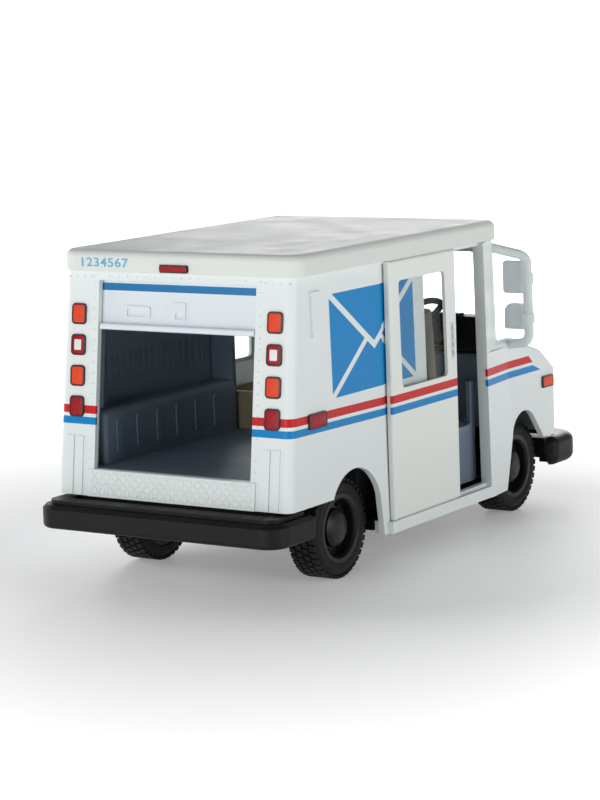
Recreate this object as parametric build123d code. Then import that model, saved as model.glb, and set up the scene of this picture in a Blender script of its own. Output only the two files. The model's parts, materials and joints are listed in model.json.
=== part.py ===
from build123d import *
from math import acos, atan2, cos, degrees, pi, radians, sin, sqrt, tan
import os

# A 1:36 die-cast toy of a right-hand-drive mail delivery van, in millimetres.
# While it is built, X = 0 is the foot of the body's rear face, +X points to the
# van's nose, +Y to its left side and Z = 0 is the ground.  save() then moves
# every piece so that the origin is under the middle of the whole toy.

# ---------------------------------------------------------------- driving sizes
scale = 36
inch = 25.4
overall_length = 175.5 * inch / scale
wheelbase = 100.5 * inch / scale

rear_bumper_x = -6.0
front_bumper_x = rear_bumper_x + overall_length
middle_x = (rear_bumper_x + front_bumper_x) / 2

# body shell
foot_z = 6.6                # underside of the sills
tail_z = 16.7               # underside of the body behind the rear wheels
nose_foot_z = 14.9          # underside of the body ahead of the front wheels
roof_z = 59.2               # top rim of the body, where the roof cap sits
foot_half = 26.85           # half width at the sills
roof_half = 25.83           # half width at the roof
tail_lean = 5.0             # how far the rear face leans forward at the roof
wall = 1.2                  # die-cast side walls
tail_wall = 1.1             # rear wall
tail_corner = 1.7           # radius of the two upright corners at the rear
side_slope = (roof_half - foot_half) / (roof_z - foot_z)
tail_slope = tail_lean / (roof_z - tail_z)
tail_angle = degrees(atan2(tail_lean, roof_z - tail_z))
cab_x = 76.0                # where the straight sides end and the front begins
screen_top_x = 81.6
screen_foot_x = 88.4
screen_foot_z = 37.8
cowl_z = 34.0               # where the cab front's rounded corners start
nose_x = 110.4
nose_corner = 7.0           # plan radius of the front wings

# rear opening and its roll-up door
opening_half = 17.8
opening_low = 21.9
opening_high = 57.5
rear_drop = 25.9            # how far the lower section comes down
lip_z = 48.2                # lower edge of the open door
slat_half = 18.3
slat_overlap = 0.45         # how far two sections still overlap when the door is down
slat_high = lip_z + rear_drop / 2 + slat_overlap
slat_layers = ((1.3, 2.1), (2.35, 3.05), (3.3, 4.0))  # lower, middle and upper, inside the rear face

# side doors, whose front and rear edges lean forward together
door_back = 35.2            # rear edge at the foot
door_length = 26.0
door_lean = 1.35            # how far the edges lean forward at the top
door_low = 9.15
door_high = 58.95
door_thick = 1.2
doorway_back = 51.8
doorway_front = 74.2
doorway_low = 9.6
doorway_high = 58.4
door_travel = doorway_front - 0.35 - (door_back + door_length + door_lean)
window_back = 39.9
window_front = 57.8
window_low = 34.2
window_high = 55.0
tongue_near = 0.12
tongue_far = 0.62
groove_far = 0.76
tongue_inset = 0.5
groove_play = 0.2
sill_top = 8.95
sill_deep = 2.9             # how far the sill reaches in under the doorway
recess_back = 34.9
recess_deep = 0.35

# the body just ahead of the doorways stands out as far as the closed doors
flare_step = 36.4           # the flare is longer below this height
flare_low_front = 88.0
flare_high_front = 80.0
vent_relief = 0.45

# roof cap
cap_back = 4.2
cap_front = 81.0
cap_half = 27.0
cap_top = 63.2
cap_skin = 1.0

# interior
deck_z = 21.9               # top of the load floor
deck_thick = 1.2
box_half = 18.0             # inner faces of the wheel boxes
box_top = 32.2
box_back = 4.9
liner_half = 24.4           # outer faces of the interior's side walls
liner_thick = 0.9
liner_top = 56.5
cab_half = 23.6             # half width of the interior between the door jambs
partition_x = 49.4
dash_top = 43.2

# base plate and its three screws
base_low, base_high = 7.0, 9.0
base_back = 13.0
base_half = 23.5            # half width between the wheels, clear of the sills
screw_places = ((44.0, 14.0), (44.0, -14.0), (70.0, 0.0))

# running gear
rear_axle_x = 22.34
front_axle_x = rear_axle_x + wheelbase
tyre_radius = 9.66
axle_z = tyre_radius
tyre_outer = 23.65          # outer face of the tyres from the middle
tyre_width = 6.4
rim_radius = 6.7
axle_radius = 1.0
running_play = 0.06

# pull-back motor
gear_module = 0.5
pinion_teeth = 12
wheel_teeth = 24
gear_width = 2.4
pressure_angle = radians(20)
backlash = 0.10
mesh_distance = gear_module * (pinion_teeth + wheel_teeth) / 2
arbor_z = axle_z + 3.2
arbor_x = rear_axle_x + sqrt(mesh_distance**2 - (arbor_z - axle_z) ** 2)
arbor_radius = 0.9
motor_half = 6.0
case_low, case_high = 5.4, 20.3
case_back, case_front = 15.6, 39.6
case_wall = 0.8

os.makedirs("parts", exist_ok=True)


# ---------------------------------------------------------------- small helpers
def save(name, shape):
    """Write one named sub-part, moved to the toy's own origin."""
    solids = shape.solids()
    moved = [Pos(-middle_x, 0, 0) * solid for solid in solids]
    whole = moved[0] if len(moved) == 1 else Compound(children=moved)
    export_step(whole, "parts/" + name + ".step")


def block(x0, x1, y0, y1, z0, z1):
    return Pos((x0 + x1) / 2, (y0 + y1) / 2, (z0 + z1) / 2) * Box(x1 - x0, y1 - y0, z1 - z0)


def both(shape):
    """The piece and its mirror image on the other side."""
    return shape + mirror(shape, about=Plane.XZ)


def half_width(z):
    return foot_half + side_slope * (z - foot_z)


def tail_x(z):
    return tail_slope * (z - tail_z)


def screen_x(z):
    return screen_foot_x - (screen_foot_x - screen_top_x) * (z - screen_foot_z) / (roof_z - screen_foot_z)


def across(face, y0, y1):
    """Extrude a face drawn in X and Z from y0 to y1."""
    return extrude(Plane.XZ.offset(-y1) * face, amount=y1 - y0)


def along(face, x0, x1):
    """Extrude a face drawn in Y and Z from x0 to x1."""
    return extrude(Plane.YZ.offset(x0) * face, amount=x1 - x0)


def outline(*points):
    return make_face(Polyline(*points, close=True))


def rod(x, z, radius, y0, y1):
    """A cylinder along Y."""
    return Pos(x, (y0 + y1) / 2, z) * Rot(90, 0, 0) * Cylinder(radius, y1 - y0)


def upright_rod(x, y, radius, z0, z1):
    return Pos(x, y, (z0 + z1) / 2) * Cylinder(radius, z1 - z0)


def side_panel(x0, x1, z0, z1, near, far, side=-1):
    """A plate that follows the leaning side, from near to far outside it."""
    low, high = half_width(z0), half_width(z1)
    face = outline(
        (side * (low + near), z0),
        (side * (low + far), z0),
        (side * (high + far), z1),
        (side * (high + near), z1),
    )
    return along(face, x0, x1)


def tail_panel(y0, y1, z0, z1, near, far):
    """A plate that follows the leaning rear face, from near to far inside it."""
    face = outline(
        (tail_x(z0) + near, z0),
        (tail_x(z0) + far, z0),
        (tail_x(z1) + far, z1),
        (tail_x(z1) + near, z1),
    )
    return across(face, y0, y1)


def tail_plane(y, z, inside=0.0):
    """A plane on the rear face that looks backward, with its own Y uphill."""
    lean = radians(tail_angle)
    return Plane(
        origin=(tail_x(z) + inside, y, z),
        x_dir=(0, -1, 0),
        z_dir=(-cos(lean), 0, sin(lean)),
    )


def rounded_cut(x0, x1, z0, z1, radius, y0, y1):
    """A through cut with rounded corners, square to the side."""
    face = Pos((x0 + x1) / 2, (z0 + z1) / 2) * RectangleRounded(x1 - x0, z1 - z0, radius)
    return across(face, y0, y1)


# ---------------------------------------------------------------- body shell
def plan_end(back, front, half, corner):
    """A plan outline whose two front corners are rounded."""
    outline_face = Pos((back + front) / 2, 0) * Rectangle(front - back, 2 * half)
    ends = outline_face.vertices().group_by(Axis.X)[-1]
    return fillet(ends, corner)


def body_form(inset=0.0):
    """The whole body as one solid, with every face moved in by inset."""
    low, high = half_width(foot_z) - inset, half_width(roof_z) - inset
    section = outline((-low, foot_z), (low, foot_z), (high, roof_z), (-high, roof_z))
    silhouette = outline(
        (tail_x(foot_z) + inset * tail_wall / wall, foot_z),
        (cab_x + 0.5, foot_z),
        (cab_x + 0.5, roof_z),
        (tail_x(roof_z) + inset * tail_wall / wall, roof_z),
    )
    van = across(silhouette, -30, 30) & along(section, -5, 90)
    corners = [edge for edge in van.edges() if edge.center().X < 5 and abs(edge.center().Y) > 20]
    van = fillet(corners, tail_corner - inset)

    # The cab front leans back and its corners tighten towards the roof.
    half_low, half_high = half_width(cowl_z) - inset, half_width(roof_z) - inset
    foot_plan = plan_end(cab_x, screen_x(cowl_z) - inset, half_low, 11.6 - inset)
    top_plan = plan_end(cab_x, screen_top_x - inset, half_high, 1.7 - inset / 3)
    cab = loft([Plane.XY.offset(cowl_z) * foot_plan, Plane.XY.offset(roof_z) * top_plan])

    # The bonnet slopes down to the nose, and the wings are rounded in plan.
    bonnet = outline(
        (cab_x, foot_z),
        (nose_x - inset, foot_z),
        (nose_x - inset, 24.6),
        (nose_x - 2.6 - inset, 29.0 - inset),
        (nose_x - 9.6, 34.0 - inset),
        (screen_foot_x, screen_foot_z + 0.2 - inset),
        (cab_x, screen_foot_z + 0.2 - inset),
    )
    bonnet_plan = plan_end(cab_x, nose_x - inset, foot_half, nose_corner - inset)
    half = half_width(31) - inset
    front = across(bonnet, -half, half)
    shoulders = [edge for edge in front.edges() if edge.center().Z > 25 and edge.center().X > cab_x + 1]
    front = fillet([edge for edge in shoulders if abs(edge.center().Y) > half - 0.1], 1.5)
    front = front & extrude(bonnet_plan, amount=roof_z) & along(section, cab_x, nose_x + 1)
    return van + cab + front


def wheel_openings():
    """The cuts that give the lower edge: tail, both arches and the nose."""
    rear_arch = make_face(
        ThreePointArc((15.2, 17.0), (22.4, 21.3), (31.9, 14.8))
        + Polyline((31.9, 14.8), (33.1, 5.0), (-12, 5.0), (-12, tail_z), (15.2, tail_z), (15.2, 17.0))
    )
    front_arch = make_face(
        ThreePointArc((86.6, 17.0), (91.0, 21.8), (96.7, 19.9))
        + Polyline((96.7, 19.9), (101.0, nose_foot_z), (nose_x + 5, nose_foot_z))
        + Polyline((nose_x + 5, nose_foot_z), (nose_x + 5, 5.0), (82.1, 5.0), (86.6, 17.0))
    )
    return across(rear_arch, -40, 40) + across(front_arch, -40, 40)


def sill(side):
    """The ledge under a side door, which also closes the foot of the doorway."""
    ledge = side_panel(
        recess_back - 0.8, doorway_front + 0.5, foot_z, sill_top, -sill_deep, door_thick, side
    )
    return fillet(ledge.edges().filter_by(Axis.X).sort_by(Axis.Y)[0 if side < 0 else -1], 0.3)


def flare(front, z0, z1, side):
    """A wedge on the body's side, proud at the doorway and flush by its front end."""
    plans = []
    for z in (z0, z1):
        half = half_width(z)
        plan = outline(
            (doorway_front, side * (half - 0.5)),
            (doorway_front, side * (half + door_thick)),
            (front, side * (half - 0.3)),
            (front, side * (half - 0.5)),
        )
        plans.append(Plane.XY.offset(z) * plan)
    return loft(plans, ruled=True)


def door_groove(z0, z1, side, lean=0.0):
    """A groove as long as a door tongue and its travel."""
    back = door_back + lean + tongue_inset - groove_play
    front = door_back + door_length + lean - tongue_inset + door_travel + groove_play
    return side_panel(back, front, z0, z1, 0, groove_far, side)


def body_shell():
    shell = body_form()
    hollow = body_form(wall)
    hollow = hollow + block(2, 105, -foot_half + wall, foot_half - wall, foot_z - 1, foot_z + 0.1)
    roof_hole = across(
        outline((tail_x(58) + tail_wall, 58), (79.4, 58), (79.4, 62), (tail_x(62) + tail_wall, 62)),
        -roof_half + wall,
        roof_half - wall,
    )
    shell = shell - hollow - roof_hole

    # doorways with their proud front edges, and the recess that each door slides over
    for side in (-1, 1):
        near, far = sorted((side * 23.8, side * 30))
        shell = shell - side_panel(recess_back, doorway_back + 1, sill_top, 58.6, -recess_deep, 1, side)
        shell = shell - block(doorway_back, doorway_front, near, far, doorway_low, doorway_high)
        shell = shell + sill(side)
        shell = shell + flare(flare_low_front, foot_z, flare_step, side)
        shell = shell + flare(flare_high_front, flare_step, door_high, side)
        shell = shell - door_groove(sill_top - 1.0, sill_top + 0.2, side)
    shell = shell - wheel_openings()

    # rear opening, windscreen opening, grille and lamp seats
    shell = shell - tail_panel(-opening_half, opening_half, opening_low, opening_high, -1, tail_wall + 1)
    screen = Pos(0, 0, 48.6) * Rot(0, 90, 0) * RectangleRounded(15.6, 43.0, 1.6)
    shell = shell - Pos(80.2, 0, 0) * extrude(screen, amount=14)
    grille_seat = Pos(0, 0, 20.6) * Rot(0, 90, 0) * RectangleRounded(6.6, 24.6, 0.8)
    shell = shell - Pos(nose_x - 3, 0, 0) * extrude(grille_seat, amount=5)
    for y in (-16.2, 16.2):
        shell = shell - Pos(nose_x, y, 21.6) * Rot(0, 90, 0) * Cylinder(2.3, 6)

    # moulded relief: tread panel, corner guards, side vents
    shell = shell + tail_panel(-19.0, 19.0, tail_z, opening_low - 0.1, -0.3, 0.1)
    for side in (-1, 1):
        for y in (21.2, 23.4):
            guard = tail_panel(y - 0.75, y + 0.75, tail_z + 0.2, 28.0, -0.25, 0.1)
            shell = shell + (guard if side > 0 else mirror(guard, about=Plane.XZ))
        vent = side_panel(9.8, 13.1, 47.5, 56.0, -0.1, vent_relief, side)
        shell = shell + vent
    return shell - both(mirror_arm()) - turn_lamps()


def roof_cap():
    """The separate plastic roof, hollow underneath, grooved for the door tongues."""
    plan = Pos((cap_back + cap_front) / 2, 0) * Rectangle(cap_front - cap_back, 2 * cap_half)
    plan = fillet(plan.vertices().group_by(Axis.X)[0], 4.0)
    plan = fillet(plan.vertices().group_by(Axis.X)[-1], 2.2)
    cap = extrude(Plane.XY.offset(roof_z) * plan, amount=cap_top - roof_z)
    cap = fillet(cap.edges().group_by(Axis.Z)[-1], 1.4)
    inner = block(
        cap_back + 1.3, cap_front - 1.6, -roof_half + 1.1, roof_half - 1.1, roof_z - 1, cap_top - cap_skin
    )
    cap = cap - inner
    for side in (-1, 1):
        cap = cap - door_groove(roof_z - 0.1, roof_z + 0.9, side, door_lean)
    lamp = tail_panel(-3.3, 3.3, roof_z - 1, 60.9, -1, cap_back - tail_x(60) + 0.35)
    return cap - lamp


# ---------------------------------------------------------------- doors
def side_door(side):
    near, far = sorted((side * 20, side * 30))
    front = door_back + door_length
    edges = outline(
        (door_back, door_low), (front, door_low),
        (front + door_lean, door_high), (door_back + door_lean, door_high),
    )
    panel = side_panel(door_back, front + door_lean, door_low, door_high, 0, door_thick, side)
    panel = panel & across(edges, near, far)
    outer = panel.faces().sort_by(Axis.Y)[0 if side < 0 else -1]
    panel = fillet(outer.edges(), 0.5)
    panel = panel - rounded_cut(window_back, window_front, window_low, window_high, 0.9, near, far)
    seat = side_panel(
        window_back - 0.8, window_front + 0.8, window_low - 0.8, window_high + 0.8, -0.1, 0.55, side
    )
    panel = panel - seat
    foot_tongue = (sill_top - 0.75, door_low + 0.1, 0.0)
    top_tongue = (door_high - 0.1, roof_z + 0.65, door_lean)
    for z0, z1, lean in (foot_tongue, top_tongue):
        panel = panel + side_panel(
            door_back + lean + tongue_inset, front + lean - tongue_inset, z0, z1, tongue_near, tongue_far, side
        )
    return panel


def door_window(side):
    return side_panel(
        window_back - 0.7, window_front + 0.7, window_low - 0.7, window_high + 0.7, 0.05, 0.55, side
    )


def rear_slat(low, near, far):
    return tail_panel(-slat_half, slat_half, low, slat_high, near, far)


def lower_slat():
    """The section that carries the lip, the handle surround and the latch."""
    slat = rear_slat(lip_z, *slat_layers[0])
    lip = tail_panel(-opening_half + 0.3, opening_half - 0.3, lip_z, lip_z + 1.2, 0.1, 1.4)
    lip = fillet(lip.edges().filter_by(Axis.Y).sort_by(Axis.X)[:2], 0.4)
    slat = slat + lip
    handle = RectangleRounded(6.0, 2.4, 0.5) - RectangleRounded(4.6, 1.5, 0.3)
    slat = slat + extrude(tail_plane(9.6, 51.5, 1.35) * handle, amount=0.3)
    latch = RectangleRounded(3.0, 3.4, 0.4) - Pos(0.2, -0.7) * RectangleRounded(2.0, 1.3, 0.3)
    return slat + extrude(tail_plane(0, 51.9, 1.35) * latch, amount=0.3)


def door_tracks():
    """The two guides behind the rear wall that hold the three door sections."""
    near, far = slat_half + 0.2, slat_half + 1.1
    track_top = 61.8
    low_web = tail_panel(near, far, opening_low + 0.3, track_top, tail_wall, 2.3)
    middle_web = tail_panel(near, far, box_top + 0.8, track_top, 2.2, 3.3)
    high_web = tail_panel(near, far, lip_z, track_top, 3.2, 4.9)
    flange = tail_panel(slat_half - 1.0, far, lip_z, track_top, 4.3, 4.9)
    return both(low_web + middle_web + high_web + flange)


# ---------------------------------------------------------------- interior
def wheel_box():
    """One hollow wheel box, its upright ribs and the wall above it."""
    box = block(box_back, partition_x + 0.2, box_half, liner_half, deck_z - deck_thick, box_top)
    box = fillet(box.edges().filter_by(Axis.X).sort_by(Axis.Z)[-2], 1.4)
    box = fillet(box.edges().filter_by(Axis.Z).sort_by(Axis.X)[0], 1.0)
    box = box - block(
        box_back + 1.0, partition_x - 0.6, box_half + 1.0, liner_half - liner_thick, 18, box_top - 1.0
    )
    for i in range(6):
        rib = RectangleRounded(1.3, 6.4, 0.6)
        box = box + across(Pos(9.0 + 6.6 * i, 27.0) * rib, box_half - 0.3, box_half + 0.2)
    inner_face = liner_half - liner_thick
    panel = block(box_back + 3.2, partition_x + 0.2, inner_face, liner_half, box_top - 0.5, liner_top)
    for i in range(20):
        back = 9.2 + 2.0 * i
        panel = panel + block(back, back + 0.9, inner_face - 0.3, liner_half - 0.5, 36.2, 41.4)
    return box + panel


def partition():
    """The narrow bulkhead beside the way through to the cab."""
    panel = block(partition_x, partition_x + 1.2, box_half + 0.4, liner_half, deck_z - 0.5, liner_top)
    for y in (19.6, 21.2, 22.8):
        panel = panel - block(partition_x - 1, partition_x + 0.4, y - 0.4, y + 0.4, 44.0, 49.0)
    return panel


def cargo_tub():
    floor_back = tail_x(deck_z) + tail_wall + 0.15
    floor = block(floor_back, 72.2, -liner_half, liner_half, deck_z - deck_thick, deck_z)
    floor = floor + block(72, 79.5, -cab_half, cab_half, deck_z - deck_thick, deck_z)
    for side in (-1, 1):
        near, far = sorted((side * (box_half + 1.0), side * (liner_half - liner_thick)))
        floor = floor - block(box_back + 1.0, partition_x - 0.6, near, far, deck_z - 2, deck_z + 1)
    skirt = block(partition_x + 1.2, 75.6, cab_half - 0.8, cab_half, 9.9, deck_z - 0.5)
    post = block(73.6, 75.6, cab_half - 0.9, cab_half, 9.9, 30.4)
    tub = floor + both(wheel_box()) + both(partition()) + both(skirt) + both(post)

    # front bulkhead below the dashboard, screw posts, seat plinth
    tub = tub + block(78.4, 79.5, -cab_half, cab_half, deck_z - 0.6, 35.4)
    tub = tub + block(56.5, 68.0, -22.4, -6.4, deck_z - 0.2, 25.0)
    for x, y in screw_places:
        tub = tub + upright_rod(x, y, 2.1, 9.1, deck_z - 0.6) - upright_rod(x, y, 0.87, 9.0, 17.0)
    return tub


def driver_seat():
    cushion = block(57.4, 67.6, -21.6, -8.4, 25.0, 28.2)
    cushion = fillet(cushion.edges().group_by(Axis.Z)[-1], 0.9)
    back = Pos(61.0, -15.0, 36.6) * Rot(0, -6, 0) * Box(3.0, 13.6, 20.4)
    back = fillet(back.edges().filter_by(Axis.Y, reverse=True).group_by(Axis.Z)[-1], 0.9)
    return cushion + back


def mail_tray():
    """The open tray at the driver's left, on its own stand."""
    stand = block(partition_x + 1.4, 66.0, -4.0, 22.6, deck_z, 29.6)
    stand = stand - block(partition_x + 2.4, 65.0, -3.0, 21.6, 23.4, 30)
    return fillet(stand.edges().filter_by(Axis.Z).group_by(Axis.X)[0], 0.6)


def dashboard():
    profile = outline(
        (77.2, 36.4), (79.0, 35.6), (84.6, 36.6), (85.6, 40.4), (83.0, dash_top), (78.6, dash_top)
    )
    dash = across(profile, -23.0, 23.0)
    hood = across(outline((76.0, 40.6), (79.5, 39.4), (79.5, 43.9), (77.2, 43.9)), -19.4, -10.6)
    dash = fillet(dash.edges().filter_by(Axis.Y).group_by(Axis.Z)[-1], 0.5)
    plan = Plane.XY.offset(34) * plan_end(60, screen_foot_x - wall - 1.2, 23.2, 9.6)
    return (dash & extrude(plan, amount=12)) + hood - steering_column()


wheel_centre = Vector(71.6, -15.0, 42.6)
column_angle = 32


def steering_column():
    """The column from the dashboard to the steering wheel's boss."""
    lean = Rot(0, column_angle, 0)
    shaft = Pos(wheel_centre) * lean * Pos(4.15, 0, 0) * Rot(0, 90, 0) * Cylinder(0.9, 6.9)
    shroud = Pos(wheel_centre) * lean * Pos(5.0, 0, 0) * Rot(0, 90, 0) * Cylinder(1.5, 4.2)
    return shaft + shroud


def steering_wheel():
    lean = Rot(0, column_angle, 0) * Rot(0, 90, 0)
    wheel = Torus(5.0, 0.65) + Cylinder(1.5, 1.3)
    for angle in (90, 210, 330):
        wheel = wheel + Rot(0, 0, angle) * Pos(2.9, 0, 0) * Box(4.4, 1.1, 0.7)
    return Pos(wheel_centre) * lean * wheel


# ---------------------------------------------------------------- glass and lamps
def windscreen():
    skin = body_form(0.15) - body_form(0.75)
    frame = Pos(0, 0, 48.6) * Rot(0, 90, 0) * RectangleRounded(15.5, 42.9, 1.5)
    return skin & (Pos(80.2, 0, 0) * extrude(frame, amount=14))


def tail_lamp(y, z):
    """A rounded lamp standing a little proud of the leaning rear face."""
    return extrude(tail_plane(y, z) * RectangleRounded(3.3, 4.0, 0.75), amount=0.45)


def lamp_group(heights):
    lamps = Part()
    for z in heights:
        lamps = lamps + both(tail_lamp(22.2, z))
    return lamps


def brake_lamp():
    lens = block(cap_back - 0.35, cap_back + 0.25, -3.15, 3.15, 59.4, 60.8)
    return fillet(lens.edges().filter_by(Axis.X), 0.4)


def side_lamp(x0, x1, z0, z1):
    lens = side_panel(x0, x1, z0, z1, 0, 0.45, 1)
    return both(fillet(lens.edges().filter_by(Axis.Y), 0.5))


def headlamps():
    lamp = Pos(nose_x - 1.2, 16.2, 21.6) * Rot(0, 90, 0) * Cylinder(2.25, 2.4)
    lamp = fillet(lamp.edges().sort_by(Axis.X)[-1], 0.5)
    return both(lamp)


def turn_lamps():
    lens = Pos(nose_x, 15.9, 17.3) * Box(0.8, 4.6, 1.6)
    return both(fillet(lens.edges().filter_by(Axis.X), 0.4))


def grille():
    """The black front grille: a frame, a back plate and horizontal bars."""
    frame = Pos(nose_x - 0.6, 0, 20.6) * Rot(0, 90, 0) * extrude(
        RectangleRounded(6.5, 24.5, 0.75) - RectangleRounded(5.3, 23.3, 0.4), amount=1.0
    )
    plate = extrude(RectangleRounded(6.5, 24.5, 0.75), amount=0.8)
    plate = Pos(nose_x - 1.4, 0, 20.6) * Rot(0, 90, 0) * plate
    bars = Part()
    for i in range(5):
        z = 18.4 + 1.1 * i
        bars = bars + block(nose_x - 0.7, nose_x + 0.1, -11.8, 11.8, z - 0.22, z + 0.22)
    return frame + plate + bars


def mirror_arm():
    """The bent tube from the screen pillar round to the cowl, with both mirror heads."""
    reach = 31.3
    top = Vector(80.9, 25.2, 57.4)
    corner_high = Vector(85.0, reach, 55.4)
    corner_low = Vector(85.6, reach, 37.5)
    foot = Vector(87.2, 23.6, 36.4)
    path = FilletPolyline(top, corner_high, corner_low, foot, radius=2.3)
    start = Plane(origin=path @ 0, z_dir=path % 0)
    tube = sweep(start * Circle(1.0), path=path)
    upper = Pos(85.1, reach - 2.8, 51.0) * Box(1.3, 5.4, 6.8)
    upper = fillet(upper.edges().filter_by(Axis.X), 0.7)
    upper = fillet(upper.faces().sort_by(Axis.X)[0].edges(), 0.45)
    lower = Pos(85.3, reach - 2.7, 42.9) * Box(1.3, 5.0, 5.4)
    lower = fillet(lower.edges().filter_by(Axis.X).group_by(Axis.Z)[-1], 1.9)
    lower = fillet(lower.edges().filter_by(Axis.X).group_by(Axis.Z)[0], 0.6)
    clamps = upright_rod(85.25, reach, 1.3, 49.6, 51.8) + upright_rod(85.4, reach, 1.3, 41.6, 43.6)
    return tube + upper + lower + clamps


def wipers():
    """Two wipers parked along the foot of the windscreen."""
    arms = Part()
    for y in (-14.0, 3.0):
        rail = block(0, 0.5, -0.35, 0.35, 0, 2.4) + block(-0.1, 0.4, -1.2, 11.0, 1.8, 2.4)
        arms = arms + Pos(screen_x(38.8) + 0.12, y, 38.8) * Rot(0, -17.6, 0) * rail
    return arms


# ---------------------------------------------------------------- base and bumpers
def chassis_base():
    """The base plate: a flat slab, risers to both bumpers, wheel wells and bearings."""
    slab = block(base_back, 108.0, -16.2, 16.2, base_low, base_high)
    slab = slab + block(34.0, 81.0, -base_half, base_half, base_low, base_high)
    slab = slab + block(1.6, base_back + 3.0, -16.2, 16.2, 11.0, 13.0)
    slab = slab + block(base_back, base_back + 3.0, -16.2, 16.2, base_low, 13.0)
    slab = slab + block(1.6, 4.0, -22.0, 22.0, 11.0, 16.4)
    slab = slab + block(103.9, 108.6, -25.0, 25.0, 10.4, 14.0) + block(103.9, 106.5, -16.2, 16.2, 8.0, 14.0)
    wells = block(8.0, 36.0, 15.2, 16.2, 11.0, 20.5) + block(84.0, 104.0, 15.2, 16.2, 8.0, 24.0)
    slab = slab + both(wells) + both(block(base_back, 36.0, 15.2, 16.2, 8.0, 12.0))
    for x in (rear_axle_x, front_axle_x):
        for y in (-13.6, 13.6):
            slab = slab + block(x - 3.2, x + 3.2, y - 2.4, y + 2.4, 6.2, 13.2)
        slab = slab - rod(x, axle_z, axle_radius + running_play, -20, 20)
    well = motor_half + 0.35
    slab = slab - block(case_back - 1.0, case_front + 1.0, -well, well, 0, 25)
    slab = slab - rod(front_axle_x, axle_z, 2.2, -11.2, 11.2)
    for x, y in screw_places:
        slab = slab - upright_rod(x, y, 1.15, 0, 12) - upright_rod(x, y, 1.9, 0, 8.2)
    return slab


def rear_bumper():
    plan = Pos((rear_bumper_x + 7.5) / 2, 0) * Rectangle(7.5 - rear_bumper_x, 55.2)
    plan = fillet(plan.vertices().group_by(Axis.X)[0], 4.2)
    plan = fillet(plan.vertices().group_by(Axis.X)[-1], 1.0)
    bar = extrude(Plane.XY.offset(10.9) * plan, amount=4.5)
    bar = chamfer(bar.edges().group_by(Axis.Z)[-1], 0.7)
    bar = fillet(bar.edges().group_by(Axis.Z)[0], 0.8)
    step = extrude(Plane.XY.offset(15.3) * offset(plan, amount=-1.7), amount=0.9)
    bar = bar + step
    bar = bar - block(-1.2, 20, -22.4, 22.4, 0, 20) - block(1.4, 20, -24.6, 24.6, 0, 20)
    for i in range(3):
        x = -3.9 + 0.9 * i
        bar = bar - block(x - 0.15, x + 0.15, -23.0, 23.0, 15.95, 17)
    tabs = both(block(-1.3, 1.6, 12.0, 16.0, 11.4, 14.0))
    return bar + tabs


def front_bumper():
    plan = Pos((front_bumper_x + 104.6) / 2, 0) * Rectangle(front_bumper_x - 104.6, 54.0)
    nose = plan.vertices().group_by(Axis.X)[-1]
    plan = fillet(nose, 5.6)
    plan = fillet(plan.vertices().group_by(Axis.X)[0], 2.4)
    bumper_low, bumper_high, edge_radius = 7.8, 14.1, 1.9
    bar = extrude(Plane.XY.offset(bumper_low) * plan, amount=bumper_high - bumper_low)
    bar = fillet(bar.edges().group_by(Axis.Z)[-1], edge_radius)
    bar = fillet(bar.edges().group_by(Axis.Z)[0], edge_radius)
    bar = bar - block(90, 109.0, -25.0, 25.0, 0, 20) - block(90, 113.4, -21.0, 21.0, 0, 20)
    return bar + both(block(108.6, 113.6, 12.0, 16.0, 10.8, 13.6))


def base_screws():
    screws = Part()
    for x, y in screw_places:
        head = upright_rod(x, y, 1.75, 7.2, 8.2)
        head = fillet(head.edges().group_by(Axis.Z)[0], 0.4)
        slot = Pos(x, y, 7.3) * (Box(2.2, 0.4, 0.8) + Box(0.4, 2.2, 0.8))
        screws = screws + (head - slot + upright_rod(x, y, 0.85, 8.1, 15.5))
    return screws


# ---------------------------------------------------------------- wheels and axles
def revolve_about_axle(profile):
    """Turn a profile of (radius, distance out from the middle) about the axle."""
    face = make_face(Polyline(*[(radius, out, 0) for radius, out in profile], close=True))
    return revolve(face, axis=Axis.Y)


def tyre():
    inner = tyre_outer - tyre_width
    radius = tyre_radius
    body = revolve_about_axle([
        (rim_radius, inner + 0.3), (radius - 1.6, inner), (radius - 0.35, inner + 0.55),
        (radius, inner + 1.4), (radius, tyre_outer - 1.4), (radius - 0.35, tyre_outer - 0.55),
        (radius - 1.6, tyre_outer), (rim_radius, tyre_outer - 0.3),
    ])
    for y in (inner + 2.3, inner + tyre_width - 2.3):
        groove = rod(0, 0, radius + 1, y - 0.2, y + 0.2) - rod(0, 0, radius - 0.45, y - 0.3, y + 0.3)
        body = body - groove
    return body


def rim():
    inner, outer = tyre_outer - tyre_width + 0.3, tyre_outer - 0.2
    seat = rim_radius
    disc = revolve_about_axle([
        (axle_radius, inner + 1.2), (axle_radius, outer - 1.2), (0, outer - 1.2), (0, outer + 0.1),
        (1.4, outer), (2.8, outer - 0.35), (3.6, outer - 0.95), (3.75, outer - 1.9),
        (5.2, outer - 2.1), (5.5, outer - 0.5), (5.8, outer), (seat, outer),
        (seat, inner), (seat - 0.9, inner), (seat - 0.9, outer - 2.9), (2.2, outer - 2.9),
        (2.2, inner + 1.2),
    ])
    for i in range(8):
        angle = radians(45 * i + 22.5)
        hole = rod(4.5 * cos(angle), 4.5 * sin(angle), 0.5, outer - 4, outer - 0.5)
        disc = disc - hole
    return disc


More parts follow.
